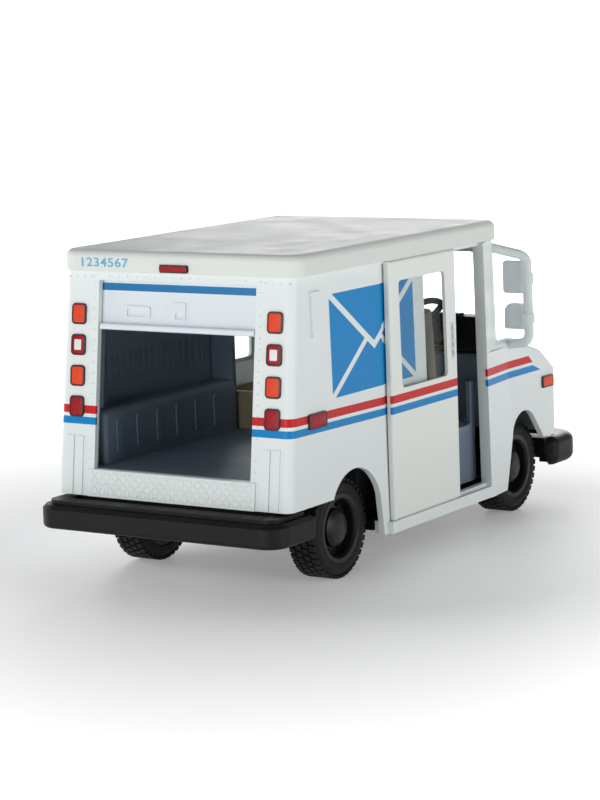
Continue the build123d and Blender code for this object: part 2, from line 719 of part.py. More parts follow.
def gear(teeth, turned):
    """A spur gear about Y with shortened involute teeth and a little backlash."""
    pitch = gear_module * teeth / 2
    base = pitch * cos(pressure_angle)
    tip = pitch + 0.82 * gear_module
    root = pitch - 1.15 * gear_module
    tooth_at_pitch = (pi * gear_module / 2 - backlash) / (2 * pitch)

    def involute(angle):
        return tan(angle) - angle

    def flank(radius):
        """Half the angle that a tooth fills at this radius."""
        return tooth_at_pitch + involute(pressure_angle) - involute(acos(min(1.0, base / radius)))

    rising = (root, max(base, root + 0.05), (base + pitch) / 2, pitch, (pitch + tip) / 2, tip)
    points = []
    for i in range(teeth):
        middle = 2 * pi * i / teeth + turned
        for radius in rising:
            angle = middle - flank(radius)
            points.append((radius * cos(angle), radius * sin(angle)))
        for radius in reversed(rising):
            angle = middle + flank(radius)
            points.append((radius * cos(angle), radius * sin(angle)))
    return across(outline(*points), -gear_width / 2, gear_width / 2)


mesh_angle = atan2(arbor_z - axle_z, arbor_x - rear_axle_x)


def axle_gear():
    wheel = gear(pinion_teeth, mesh_angle) + rod(0, 0, 1.9, -3.0, 3.0)
    wheel = wheel - rod(0, 0, axle_radius, -5, 5)
    return Pos(rear_axle_x, 0, axle_z) * wheel


def winding_gear():
    wheel = gear(wheel_teeth, mesh_angle + pi + pi / wheel_teeth) + rod(0, 0, 2.0, -3.0, 3.0)
    wheel = wheel - rod(0, 0, arbor_radius, -5, 5)
    for i in range(4):
        angle = radians(90 * i + 45)
        wheel = wheel - rod(3.6 * cos(angle), 3.6 * sin(angle), 0.9, -5, 5)
    return Pos(arbor_x, 0, arbor_z) * wheel


def winding_arbor():
    return rod(arbor_x, arbor_z, arbor_radius, -motor_half + 0.1, motor_half - 0.1)


def mainspring():
    """A flat spiral spring beside the winding gear, anchored in the motor case."""
    turns, first, pitch_out, thick = 4.25, 1.25, 1.0, 0.28
    steps = int(turns * 16)
    inner_edge, outer_edge = [], []
    for i in range(steps + 1):
        angle = 2 * pi * turns * i / steps
        radius = first + pitch_out * angle / (2 * pi)
        inner_edge.append((radius * cos(angle), radius * sin(angle)))
        outer_edge.append(((radius + thick) * cos(angle), (radius + thick) * sin(angle)))
    strip = outline(*inner_edge, *reversed(outer_edge))
    return Pos(arbor_x, 0, arbor_z) * across(strip, 3.2, 4.9)


def motor_case(side):
    """Half of the motor's case, split along the middle of the toy."""
    case = rounded_cut(case_back, case_front, case_low, case_high, 2.0, 0, motor_half)
    case = case - rounded_cut(
        case_back + case_wall, case_front - case_wall, case_low + case_wall, case_high - case_wall,
        2.0 - case_wall, -1, motor_half - case_wall,
    )
    case = case - rod(rear_axle_x, axle_z, axle_radius + running_play, -1, motor_half + 1)
    case = case - rod(arbor_x, arbor_z, arbor_radius + running_play, -1, motor_half - 0.05)
    return case if side > 0 else mirror(case, about=Plane.XZ)


def axle(x, reach):
    return rod(x, axle_z, axle_radius, -reach, reach)


def wheel_piece(shape, x, side):
    piece = shape if side > 0 else mirror(shape, about=Plane.XZ)
    return Pos(x, 0, axle_z) * piece


# ---------------------------------------------------------------- write every piece
save("body_shell", body_shell())
save("roof_cap", roof_cap())
save("chassis_base", chassis_base())
save("rear_bumper", rear_bumper())
save("front_bumper", front_bumper())
save("base_screws", base_screws())
save("cargo_tub", cargo_tub())
save("driver_seat", driver_seat())
save("mail_tray", mail_tray())
save("dashboard", dashboard())
save("steering_column", steering_column())
save("steering_wheel", steering_wheel())
save("windscreen", windscreen())
save("grille", grille())
save("headlamps", headlamps())
save("turn_lamps", turn_lamps())
save("wipers", wipers())
save("tail_lamps_amber", lamp_group((51.0, 39.3)))
save("tail_lamps_red", lamp_group((45.15, 33.5)))
save("brake_lamp", brake_lamp())
save("rear_side_lamps", side_lamp(7.4, 13.5, 30.9, 33.8))
save("front_side_lamps", side_lamp(100.2, 105.1, 25.5, 28.0))
save("left_mirror", mirror_arm())
save("right_mirror", mirror(mirror_arm(), about=Plane.XZ))

save("right_door", side_door(-1))
save("right_door_window", door_window(-1))
save("left_door", Pos(door_travel, 0, 0) * side_door(1))
save("left_door_window", Pos(door_travel, 0, 0) * door_window(1))

save("rear_door_lower", lower_slat())
save("rear_door_middle", rear_slat(lip_z + 0.1, *slat_layers[1]))
save("rear_door_upper", rear_slat(lip_z + 0.2, *slat_layers[2]))
save("rear_door_tracks", door_tracks())

tyre_shape = tyre()
rim_shape = rim()
for side, side_name in ((1, "left"), (-1, "right")):
    for x, end in ((front_axle_x, "front"), (rear_axle_x, "rear")):
        save(end + "_" + side_name + "_tyre", wheel_piece(tyre_shape, x, side))
        save(end + "_" + side_name + "_rim", wheel_piece(rim_shape, x, side))
    save("motor_case_" + side_name, motor_case(side))
save("front_axle", axle(front_axle_x, tyre_outer - 1.4))
save("rear_axle", axle(rear_axle_x, tyre_outer - 1.4))
save("axle_gear", axle_gear())
save("winding_gear", winding_gear())
save("winding_arbor", winding_arbor())
save("mainspring", mainspring())
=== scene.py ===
import json
from math import atan, cos, pi, radians, sin

import bpy
from mathutils import Matrix, Vector


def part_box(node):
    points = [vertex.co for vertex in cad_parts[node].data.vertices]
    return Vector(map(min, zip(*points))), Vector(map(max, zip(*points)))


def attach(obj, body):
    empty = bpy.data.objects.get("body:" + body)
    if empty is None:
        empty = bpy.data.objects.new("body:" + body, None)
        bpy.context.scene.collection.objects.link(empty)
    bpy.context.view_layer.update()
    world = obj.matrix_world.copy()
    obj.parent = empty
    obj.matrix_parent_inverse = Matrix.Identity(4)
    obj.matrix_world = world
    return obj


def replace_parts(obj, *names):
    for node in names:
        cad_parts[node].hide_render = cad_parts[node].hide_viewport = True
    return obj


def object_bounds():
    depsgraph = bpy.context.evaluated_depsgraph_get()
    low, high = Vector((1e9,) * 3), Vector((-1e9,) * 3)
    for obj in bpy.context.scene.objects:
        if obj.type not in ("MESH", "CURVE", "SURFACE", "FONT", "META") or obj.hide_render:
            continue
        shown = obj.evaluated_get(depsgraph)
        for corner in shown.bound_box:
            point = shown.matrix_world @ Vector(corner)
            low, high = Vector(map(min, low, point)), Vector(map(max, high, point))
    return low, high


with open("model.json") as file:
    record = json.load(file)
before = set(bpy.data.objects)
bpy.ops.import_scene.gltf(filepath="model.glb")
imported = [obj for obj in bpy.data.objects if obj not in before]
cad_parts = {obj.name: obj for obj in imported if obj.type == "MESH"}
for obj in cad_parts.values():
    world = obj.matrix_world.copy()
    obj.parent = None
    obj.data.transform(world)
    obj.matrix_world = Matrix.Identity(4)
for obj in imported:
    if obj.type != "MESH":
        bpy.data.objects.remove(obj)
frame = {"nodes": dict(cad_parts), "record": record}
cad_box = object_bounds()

# Places are in millimetres on the toy: x forward from the foot of the rear face, y to
# the left, z up from the ground.  at() turns such a place into the frame's own metres.
# The sizes below repeat those of the CAD source.
MM = 0.001
REAR_AXLE_X = 22.34
FOOT_Z, ROOF_Z, TAIL_Z = 6.6, 59.2, 16.7
FOOT_HALF, ROOF_HALF = 26.85, 25.83
TAIL_SLOPE = 5.0 / (ROOF_Z - TAIL_Z)
SIDE_SLOPE = (ROOF_HALF - FOOT_HALF) / (ROOF_Z - FOOT_Z)
DOOR_THICK = 1.2
DOOR_TRAVEL = 11.3
RED_LOW, RED_HIGH = 31.65, 33.2
BLUE_LOW, BLUE_HIGH = 29.6, 31.0

axle_low, axle_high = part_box("rear_axle")
tail_foot = (axle_low.x + axle_high.x) / 2 - REAR_AXLE_X * MM


def at(x, y, z):
    return Vector((tail_foot + x * MM, y * MM, z * MM))


def tail_x(z):
    return TAIL_SLOPE * (z - TAIL_Z)


def half_width(z):
    return FOOT_HALF + SIDE_SLOPE * (z - FOOT_Z)


# ------------------------------------------------------------------ materials
class Shader:
    """A Principled material whose nodes are made one short call at a time."""

    def __init__(self, name, roughness, metallic=0.0, coat=0.0, ior=1.5):
        self.material = bpy.data.materials.new(name)
        self.material.use_nodes = True
        self.tree = self.material.node_tree
        self.surface = self.tree.nodes["Principled BSDF"]
        self.surface.inputs["Roughness"].default_value = roughness
        self.surface.inputs["Metallic"].default_value = metallic
        self.surface.inputs["Coat Weight"].default_value = coat
        self.surface.inputs["Coat Roughness"].default_value = 0.08
        self.surface.inputs["IOR"].default_value = ior
        self.place = self.tree.nodes.new("ShaderNodeTexCoord").outputs["Object"]

    def feed(self, socket, value):
        if isinstance(value, bpy.types.NodeSocket):
            self.tree.links.new(value, socket)
        else:
            socket.default_value = value

    def math(self, operation, *values):
        node = self.tree.nodes.new("ShaderNodeMath")
        node.operation = operation
        for socket, value in zip(node.inputs, values):
            self.feed(socket, value)
        return node.outputs[0]

    def axes(self):
        node = self.tree.nodes.new("ShaderNodeSeparateXYZ")
        self.feed(node.inputs[0], self.place)
        return node.outputs

    def noise(self, size, detail=2.0, stretch=(1.0, 1.0, 1.0)):
        """Noise whose largest lumps are about size metres across."""
        mapping = self.tree.nodes.new("ShaderNodeMapping")
        mapping.inputs["Scale"].default_value = [s / size for s in stretch]
        self.feed(mapping.inputs["Vector"], self.place)
        node = self.tree.nodes.new("ShaderNodeTexNoise")
        node.inputs["Scale"].default_value = 1.0
        node.inputs["Detail"].default_value = detail
        self.feed(node.inputs["Vector"], mapping.outputs[0])
        return node.outputs["Fac"]

    def spread(self, value, low, high, from_low=0.3, from_high=0.7):
        node = self.tree.nodes.new("ShaderNodeMapRange")
        for socket, number in zip(node.inputs, (value, from_low, from_high, low, high)):
            self.feed(socket, number)
        return node.outputs[0]

    def mix(self, factor, first, second):
        node = self.tree.nodes.new("ShaderNodeMix")
        node.data_type = "RGBA"
        self.feed(node.inputs["Factor"], factor)
        self.feed(node.inputs[6], first)
        self.feed(node.inputs[7], second)
        return node.outputs[2]

    def color(self, value):
        self.feed(self.surface.inputs["Base Color"], value)

    def roughness(self, value):
        self.feed(self.surface.inputs["Roughness"], value)

    def sheen(self, level):
        self.surface.inputs["Specular IOR Level"].default_value = level

    def bump(self, height, distance, strength=1.0):
        node = self.tree.nodes.new("ShaderNodeBump")
        node.inputs["Distance"].default_value = distance
        node.inputs["Strength"].default_value = strength
        self.feed(node.inputs["Height"], height)
        self.feed(self.surface.inputs["Normal"], node.outputs[0])


def rgb(red, green, blue):
    return (red, green, blue, 1.0)


def shade(color, share):
    return rgb(*[part * share for part in color[:3]])


def moulded(name, color, roughness, grain=0.0004, relief=0.00001, uneven=0.06, sheen=0.5):
    """Moulded plastic: cloudy colour, uneven gloss and a fine grain."""
    shader = Shader(name, roughness)
    shader.sheen(sheen)
    cloud = shader.noise(0.018, 3.0)
    shader.color(shader.mix(shader.spread(cloud, 0.0, 1.0), color, shade(color, 1.0 - uneven)))
    shader.roughness(shader.spread(shader.noise(0.006, 4.0), roughness - 0.05, roughness + 0.07))
    shader.bump(shader.noise(grain, 3.0), relief)
    return shader


def metal(name, color, roughness, stretch):
    """Drawn or turned metal, streaked along the axis that has the smallest stretch."""
    shader = Shader(name, roughness, metallic=1.0)
    streaks = shader.noise(0.0012, 4.0, stretch)
    shader.color(shader.mix(shader.spread(streaks, 0.0, 1.0), color, shade(color, 0.72)))
    shader.roughness(shader.spread(streaks, roughness - 0.06, roughness + 0.12))
    shader.bump(streaks, 0.000015)
    return shader.material


WHITE = rgb(0.74, 0.79, 0.785)
IVORY = rgb(0.76, 0.795, 0.755)
RED = rgb(0.56, 0.016, 0.02)
BLUE = rgb(0.003, 0.22, 0.54)
PAINT_SHEEN = 0.16


def band(shader, value, low, high):
    """1 where value lies between low and high, both in metres."""
    return shader.math("COMPARE", value, (low + high) / 2, (high - low) / 2)


def both_of(shader, *masks):
    result = masks[0]
    for mask in masks[1:]:
        result = shader.math("MULTIPLY", result, mask)
    return result


def any_of(shader, *masks):
    result = masks[0]
    for mask in masks[1:]:
        result = shader.math("MAXIMUM", result, mask)
    return result


def side_depth(shader, y, z):
    """How far a point lies outside the body's leaning side, in metres."""
    lean = shader.math("MULTIPLY_ADD", z, -SIDE_SLOPE, -(FOOT_HALF - SIDE_SLOPE * FOOT_Z) * MM)
    return shader.math("ADD", shader.math("ABSOLUTE", y), lean)


def near_tail(shader, x, z, depth):
    """1 where a point lies less than depth millimetres inside the leaning rear face."""
    level = shader.math("MULTIPLY_ADD", z, -TAIL_SLOPE, x)
    return shader.math("LESS_THAN", level, tail_foot - TAIL_SLOPE * TAIL_Z * MM + depth * MM)


def stripe_masks(shader, x, z, tips):
    """The red and the blue stripe, rising a little rearwards; tips slants their front ends."""
    rise, level_x = 0.017, tail_foot + 35 * MM
    behind = shader.math("MAXIMUM", shader.math("SUBTRACT", level_x, x), 0.0)
    z = shader.math("MULTIPLY_ADD", behind, -rise, z)
    red = band(shader, z, RED_LOW * MM, RED_HIGH * MM)
    blue = band(shader, z, BLUE_LOW * MM, BLUE_HIGH * MM)
    if not tips:
        return red, blue
    red_tip = (95.2, 32.7, 1.2)
    blue_tip = (96.9, 30.8, 2.55)
    cut = []
    for stripe, (tip_x, tip_z, lean) in ((red, red_tip), (blue, blue_tip)):
        slanted = shader.math("MULTIPLY_ADD", z, lean, x)
        behind_tip = shader.math("LESS_THAN", slanted, tail_foot + (tip_x + lean * tip_z) * MM)
        cut.append(both_of(shader, stripe, behind_tip))
    return cut


def envelope_mask(shader, x, z):
    """A plain envelope on the body's sides: a filled card with its flap in white."""
    centre_x, centre_z = tail_foot + 32.0 * MM, 45.2 * MM
    half_x, half_z = 15.6 * MM, 9.7 * MM
    line = 0.62 * MM
    flap_line, pocket_line = line * 1.25, line * 1.15
    card = both_of(
        shader,
        band(shader, x, centre_x - half_x, centre_x + half_x),
        band(shader, z, centre_z - half_z, centre_z + half_z),
    )
    aside = shader.math("ABSOLUTE", shader.math("SUBTRACT", x, centre_x))
    flap_drop, pocket_rise = 0.72, 0.75
    flap_z = shader.math("MULTIPLY_ADD", aside, flap_drop, centre_z + half_z - flap_drop * half_x)
    flap = shader.math("COMPARE", z, flap_z, flap_line)
    pocket_z = shader.math(
        "MULTIPLY_ADD", aside, -pocket_rise, centre_z - half_z + pocket_rise * half_x
    )
    below = shader.math("LESS_THAN", z, flap_z)
    pocket = both_of(shader, shader.math("COMPARE", z, pocket_z, pocket_line), below)
    gaps = any_of(shader, flap, pocket)
    return both_of(shader, card, shader.math("SUBTRACT", 1.0, gaps))


def enamel(shader, base, relief):
    """White enamel: faint cloudiness, an even gloss and a little orange peel."""
    cloud = shader.noise(0.022, 3.0)
    shader.roughness(shader.spread(shader.noise(0.009, 2.0), 0.3, 0.315))
    shader.bump(shader.noise(0.0011, 2.0), relief)
    return shader.mix(shader.spread(cloud, 0.0, 1.0), base, shade(base, 0.99))


def body_paint():
    """The body's enamel, with the stripes and the envelope on its outer faces only."""
    shader = Shader("body_enamel", 0.25)
    shader.sheen(PAINT_SHEEN)
    x, y, z = shader.axes()
    base = enamel(shader, WHITE, 0.00001)
    skin_depth, tail_skin, opening_half = 0.8, 0.45, 17.0
    on_side = shader.math("GREATER_THAN", side_depth(shader, y, z), -skin_depth * MM)
    beside = shader.math("GREATER_THAN", shader.math("ABSOLUTE", y), opening_half * MM)
    rear_jambs = both_of(shader, near_tail(shader, x, z, tail_skin), beside)
    outside = any_of(shader, on_side, rear_jambs)
    # The doorway's front jamb takes the stripes on its outermost edge only.
    jamb_x, jamb_thick, jamb_edge = 74.0, 0.3, 0.65
    jamb = band(shader, x, tail_foot + jamb_x * MM, tail_foot + (jamb_x + jamb_thick) * MM)
    jamb = both_of(shader, jamb, shader.math("LESS_THAN", side_depth(shader, y, z), jamb_edge * MM))
    outside = both_of(shader, outside, shader.math("SUBTRACT", 1.0, jamb))
    red, blue = stripe_masks(shader, x, z, tips=True)
    card = both_of(shader, envelope_mask(shader, x, z), on_side)
    color = shader.mix(both_of(shader, red, outside), base, RED)
    color = shader.mix(any_of(shader, both_of(shader, blue, outside), card), color, BLUE)
    shader.color(color)
    return shader.material


def door_paint():
    """The side doors: the same stripes, on the outer face and its edges."""
    shader = Shader("side_door_plastic", 0.28)
    shader.sheen(PAINT_SHEEN)
    x, y, z = shader.axes()
    base = enamel(shader, IVORY, 0.000008)
    skin_depth = 0.55
    outside = shader.math("GREATER_THAN", side_depth(shader, y, z), (DOOR_THICK - skin_depth) * MM)
    red, blue = stripe_masks(shader, x, z, tips=False)
    color = shader.mix(both_of(shader, red, outside), base, RED)
    shader.color(shader.mix(both_of(shader, blue, outside), color, BLUE))
    return shader.material


def roller_paint():
    """The rear door: a pair of stripes under the header, on the lower section."""
    shader = Shader("rear_door_plastic", 0.3, coat=0.1)
    x, _, z = shader.axes()
    base = enamel(shader, rgb(0.70, 0.755, 0.80), 0.000008)
    drop, lower_depth = 25.9, 2.2
    red = band(shader, z, (RED_LOW + drop) * MM, (RED_HIGH + drop) * MM)
    blue = band(shader, z, (BLUE_LOW + drop) * MM, (BLUE_HIGH + drop) * MM)
    lower = near_tail(shader, x, z, lower_depth)
    # The lower section's stripes are darkened, red to 0.85 and blue to 0.7 of the body's stripes: painted
    # shade of the header above them.
    color = shader.mix(both_of(shader, red, lower), base, shade(RED, 0.85))
    shader.color(shader.mix(both_of(shader, blue, lower), color, shade(BLUE, 0.7)))
    return shader.material


def clear_plastic(name, color, roughness=0.02):
    """Clear glazing with a faint haze; the low index keeps what is behind it in place."""
    shader = Shader(name, roughness, ior=1.12)
    shader.surface.inputs["Transmission Weight"].default_value = 1.0
    haze = shader.noise(0.012, 3.0)
    shader.color(shader.mix(shader.spread(haze, 0.0, 1.0), color, shade(color, 0.97)))
    shader.roughness(shader.spread(haze, roughness, roughness + 0.03))
    return shader.material


def lamp_plastic(name, color, glow=0.05):
    """Coloured lens print: satin, with a faint prism grid and a slight glow."""
    shader = Shader(name, 0.28)
    shader.sheen(0.2)
    _, y, z = shader.axes()
    pitch = 0.5 * MM
    waves = [shader.math("SINE", shader.math("MULTIPLY", axis, 2 * pi / pitch)) for axis in (y, z)]
    prism = shader.math("MULTIPLY", waves[0], waves[1])
    shader.color(shader.mix(shader.spread(prism, 0.0, 1.0, -1.0, 1.0), color, shade(color, 0.84)))
    shader.roughness(shader.spread(shader.noise(0.003, 2.0), 0.22, 0.36))
    shader.bump(prism, 0.000012)
    shader.surface.inputs["Emission Color"].default_value = color
    shader.surface.inputs["Emission Strength"].default_value = glow
    return shader.material


def mirror_plastic():
    """White tube, with the two mirror heads a shade greyer than their loop."""
    shader = Shader("mirror_plastic", 0.33)
    shader.sheen(0.2)
    _, y, z = shader.axes()
    head_reach, head_low, head_high = 30.1, 39.8, 54.7
    inboard = shader.math("LESS_THAN", shader.math("ABSOLUTE", y), head_reach * MM)
    heads = both_of(shader, inboard, band(shader, z, head_low * MM, head_high * MM))
    tube, glass = rgb(0.66, 0.71, 0.71), rgb(0.54, 0.585, 0.61)
    shader.color(shader.mix(heads, shader.mix(shader.noise(0.01), tube, shade(tube, 0.95)), glass))
    shader.bump(shader.noise(0.0004), 0.000006)
    return shader.material


def make_materials():
    black = moulded(
        "bumper_plastic", rgb(0.007, 0.007, 0.0062), 0.42, relief=0.000014, uneven=0.2, sheen=0.2
    )
    rubber = moulded(
        "tyre_rubber", rgb(0.009, 0.009, 0.0082), 0.6, grain=0.0003, uneven=0.25, sheen=0.25
    )
    wheel = moulded("wheel_plastic", rgb(0.007, 0.007, 0.0065), 0.36, uneven=0.2, sheen=0.35)
    roof = moulded(
        "roof_plastic", shade(IVORY, 0.91), 0.5, grain=0.0006, relief=0.000008, uneven=0.04, sheen=0.15
    )
    tub = moulded("tub_plastic", rgb(0.15, 0.2, 0.26), 0.45, relief=0.00002, uneven=0.12, sheen=0.35)
    seat = moulded(
        "seat_plastic", rgb(0.23, 0.2, 0.125), 0.5, relief=0.00002, uneven=0.15, sheen=0.35
    )
    dash = moulded(
        "dash_plastic", rgb(0.009, 0.009, 0.01), 0.5, relief=0.00002, uneven=0.2, sheen=0.3
    )
    mirror = mirror_plastic()
    nylon = moulded("gear_nylon", rgb(0.72, 0.69, 0.58), 0.42, relief=0.00001, uneven=0.08)
    case = moulded("motor_case_plastic", rgb(0.02, 0.02, 0.023), 0.38, uneven=0.15, sheen=0.3)
    return {
        "body_white": body_paint(),
        "roof_ivory": roof.material,
        "door_ivory": door_paint(),
        "base_black": black.material,
        "tub_blue_grey": tub.material,
        "seat_tan": seat.material,
        "dash_black": dash.material,
        "clear_glazing": clear_plastic("clear_glazing", rgb(0.93, 0.955, 0.95)),
        "rear_door_white": roller_paint(),
        "lamp_amber": lamp_plastic("lamp_amber", rgb(0.74, 0.062, 0.018)),
        "lamp_red": lamp_plastic("lamp_red", rgb(0.34, 0.006, 0.012)),
        "lamp_clear": clear_plastic("lamp_clear", rgb(0.95, 0.96, 0.96)),
        "mirror_white": mirror,
        "tyre_black": rubber.material,
        "rim_black": wheel.material,
        "axle_steel": metal("axle_steel", rgb(0.62, 0.61, 0.58), 0.28, (1, 0.05, 1)),
        "gear_white": nylon.material,
        "case_black": case.material,
        "spring_steel": metal("spring_steel", rgb(0.16, 0.2, 0.3), 0.3, (1, 0.2, 1)),
        "screw_steel": metal("screw_steel", rgb(0.55, 0.55, 0.53), 0.34, (1, 1, 0.3)),
    }


materials = make_materials()
dark_print = moulded("dark_print", rgb(0.035, 0.012, 0.01), 0.35, uneven=0.2).material
white_print = moulded("white_print", rgb(0.76, 0.78, 0.77), 0.3, uneven=0.05).material
blue_print = moulded("blue_print", rgb(0.12, 0.4, 0.66), 0.35, uneven=0.1).material
pale_print = moulded("pale_print", rgb(0.56, 0.6, 0.66), 0.4, uneven=0.06).material
grey_print = moulded("grey_print", rgb(0.36, 0.38, 0.43), 0.4, uneven=0.1).material
silver = metal("lamp_silver", rgb(0.85, 0.86, 0.87), 0.14, (0.4, 0.4, 0.4))

for row in frame["record"]["subparts"]:
    node = frame["nodes"][row["node"]]
    node.data.materials.clear()
    node.data.materials.append(materials[row["material_slot"]])


# ------------------------------------------------------------------ mesh helpers
class Sheet:
    """Vertices and faces collected for one piece."""

    def __init__(self):
        self.points = []
        self.faces = []

    def loop(self, points):
        first = len(self.points)
        self.points.extend(points)
        return list(range(first, len(self.points)))

    def bridge(self, lower, upper):
        count = len(lower)
        for i in range(count):
            j = (i + 1) % count
            self.faces.append((lower[i], lower[j], upper[j], upper[i]))

    def stack(self, loops, ring=False):
        """Join loops in turn; the ends are capped, or joined to each other in a ring."""
        for lower, upper in zip(loops, loops[1:]):
            self.bridge(lower, upper)
        if ring:
            self.bridge(loops[-1], loops[0])
        else:
            self.faces.append(tuple(reversed(loops[0])))
            self.faces.append(tuple(loops[-1]))

    def piece(self, name, material, body, slot, smooth=35):
        mesh = bpy.data.meshes.new(name)
        mesh.from_pydata([tuple(point) for point in self.points], [], self.faces)
        mesh.update()
        built = bpy.data.objects.new(name, mesh)
        bpy.context.scene.collection.objects.link(built)
        return finish_piece(built, material, body, smooth)


def finish_piece(built, material, body, smooth=35):
    mesh = built.data
    mesh.materials.clear()
    mesh.materials.append(material)
    for polygon in mesh.polygons:
        polygon.use_smooth = True
    mesh.set_sharp_from_angle(angle=radians(smooth))
    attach(built, body)
    return built


def rounded_rectangle(width, height, corner, steps=5):
    """Points round a rectangle with rounded corners, anticlockwise from its right side."""
    corner = max(min(corner, width / 2, height / 2), 0.001)
    points = []
    for turn, (sx, sy) in enumerate(((1, 1), (-1, 1), (-1, -1), (1, -1))):
        for i in range(steps + 1):
            angle = pi / 2 * (turn + i / steps)
            points.append((
                sx * (width / 2 - corner) + corner * cos(angle),
                sy * (height / 2 - corner) + corner * sin(angle),
            ))
    return points


class Place:
    """A flat spot on the toy with its own right, up and outward directions."""

    def __init__(self, origin, right, up):
        self.origin = origin
        self.right = Vector(right).normalized()
        self.up = Vector(up).normalized()
        self.out = self.right.cross(self.up)

    def point(self, across, along, out):
        return self.origin + (self.right * across + self.up * along + self.out * out) * MM


def on_tail(y, z):
    lean = atan(TAIL_SLOPE)
    return Place(at(tail_x(z), y, z), (0, -1, 0), (sin(lean), 0, cos(lean)))


def on_side(x, z, side, outside=0.0):
    lean = atan(SIDE_SLOPE)
    origin = at(x, side * (half_width(z) + outside), z)
    return Place(origin, (-side, 0, 0), (0, side * sin(lean), cos(lean)))


def rounded_plate(sheet, place, width, height, corner, layers, shift=(0, 0), ring=False):
    """Add a rounded plate whose layers are (how far in from the edge, how far out)."""
    loops = []
    for inset, out in layers:
        outline = rounded_rectangle(width - 2 * inset, height - 2 * inset, corner - inset)
        loops.append(sheet.loop([place.point(u + shift[0], v + shift[1], out) for u, v in outline]))
    sheet.stack(loops, ring)


def dome(sheet, place, radius, height, rings=3, around=10, shift=(0, 0)):
    """Add a low round button, such as a rivet head."""
    loops = []
    for i in range(rings + 1):
        angle = pi / 2 * i / (rings + 0.6)
        size = radius * cos(angle)
        out = height * sin(angle)
        loops.append(sheet.loop([
            place.point(
                shift[0] + size * cos(2 * pi * j / around), shift[1] + size * sin(2 * pi * j / around), out
            )
            for j in range(around)
        ]))
    sheet.stack(loops)


# ------------------------------------------------------------------ rear face
# A plate's layers are pairs: how far in from its edge, and how far out from the face.
LAMP_WIDE, LAMP_HIGH, LAMP_CORNER = 3.3, 4.0, 0.75
LAMP_Y = 22.2
LAMP_LEVELS = {"tail_lamps_amber": (51.0, 39.3), "tail_lamps_red": (45.15, 33.5)}
LAMP_CROWN = ((0, 0.0), (0, 0.24), (0.08, 0.33), (0.36, 0.36), (0.8, 0.42), (1.4, 0.44))
LAMP_FRAME = ((-0.02, 0.02), (-0.02, 0.3), (0.06, 0.42), (0.26, 0.43), (0.36, 0.34), (0.3, 0.1))


def tail_lamps():
    """Crowned lenses in dark printed frames, the second one down with a white square."""
    rims = Sheet()
    squares = Sheet()
    for node, levels in LAMP_LEVELS.items():
        lenses = Sheet()
        for z in levels:
            for y in (-LAMP_Y, LAMP_Y):
                place = on_tail(y, z)
                rounded_plate(lenses, place, LAMP_WIDE, LAMP_HIGH, LAMP_CORNER, LAMP_CROWN)
                rounded_plate(rims, place, LAMP_WIDE, LAMP_HIGH, LAMP_CORNER, LAMP_FRAME, ring=True)
        slot = "lamp_amber" if node.endswith("amber") else "lamp_red"
        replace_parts(lenses.piece(node + "_lens", materials[slot], "van", slot), node)
    for y in (-LAMP_Y, LAMP_Y):
        place = on_tail(y, LAMP_LEVELS["tail_lamps_red"][0])
        wide, high, corner = 1.6, 2.0, 0.18
        rounded_plate(squares, place, wide, high, corner, ((0, 0.3), (0, 0.445), (0.06, 0.46)))
    rims.piece("tail_lamp_frames", dark_print, "van", "base_black")
    squares.piece("reverse_lamp_lenses", white_print, "van", "lamp_clear")


def rivets():
    """Rows of rivet heads up both jambs, and along the top of the rear face."""
    heads = Sheet()
    radius, height = 0.25, 0.15
    jamb_y, jamb_foot, jamb_pitch, jamb_count = 18.75, 17.6, 2.03, 21
    corner_y, corner_z, corner_pitch, corner_count = 19.6, 58.0, 1.75, 4
    header_z, header_pitch, header_count = 58.3, 2.05, 16
    for side in (-1, 1):
        for i in range(jamb_count):
            dome(heads, on_tail(side * jamb_y, jamb_foot + jamb_pitch * i), radius, height)
        for i in range(corner_count):
            dome(heads, on_tail(side * (corner_y + corner_pitch * i), corner_z), radius, height)
    for i in range(header_count):
        y = header_pitch * (i - (header_count - 1) / 2)
        dome(heads, on_tail(y, header_z), radius * 0.9, height)
    heads.piece("rear_rivets", materials["body_white"], "van", "body_white")


def tread_plate():
    """The chequer plate under the rear opening: raised bars at alternate slants."""
    bars = Sheet()
    rows, columns = 5, 39
    pitch, row_pitch, first_z = 0.95, 0.93, 17.3
    bar_long, bar_wide = 0.98, 0.34
    bar_layers = ((0, 0.25), (0.02, 0.34), (0.08, 0.42), (0.14, 0.44))
    for row in range(rows):
        for column in range(columns):
            y = (column - (columns - 1) / 2) * pitch
            z = first_z + row_pitch * row
            flat = on_tail(y, z)
            slant = radians(45 if (row + column) % 2 else -45)
            right = flat.right * cos(slant) + flat.up * sin(slant)
            bar = Place(flat.origin, right, flat.out.cross(right))
            rounded_plate(bars, bar, bar_long, bar_wide, bar_wide / 2, bar_layers)
    edge = Sheet()
    sill_z, sill_long, sill_high, sill_corner = 21.65, 37.6, 0.42, 0.2
    sill_layers = ((0, 0.1), (0, 0.3), (0.1, 0.42), (0.18, 0.44))
    rounded_plate(edge, on_tail(0, sill_z), sill_long, sill_high, sill_corner, sill_layers)
    bars.piece("tread_plate_bars", materials["body_white"], "van", "body_white")
    edge.piece("tread_plate_lip", materials["body_white"], "van", "body_white")


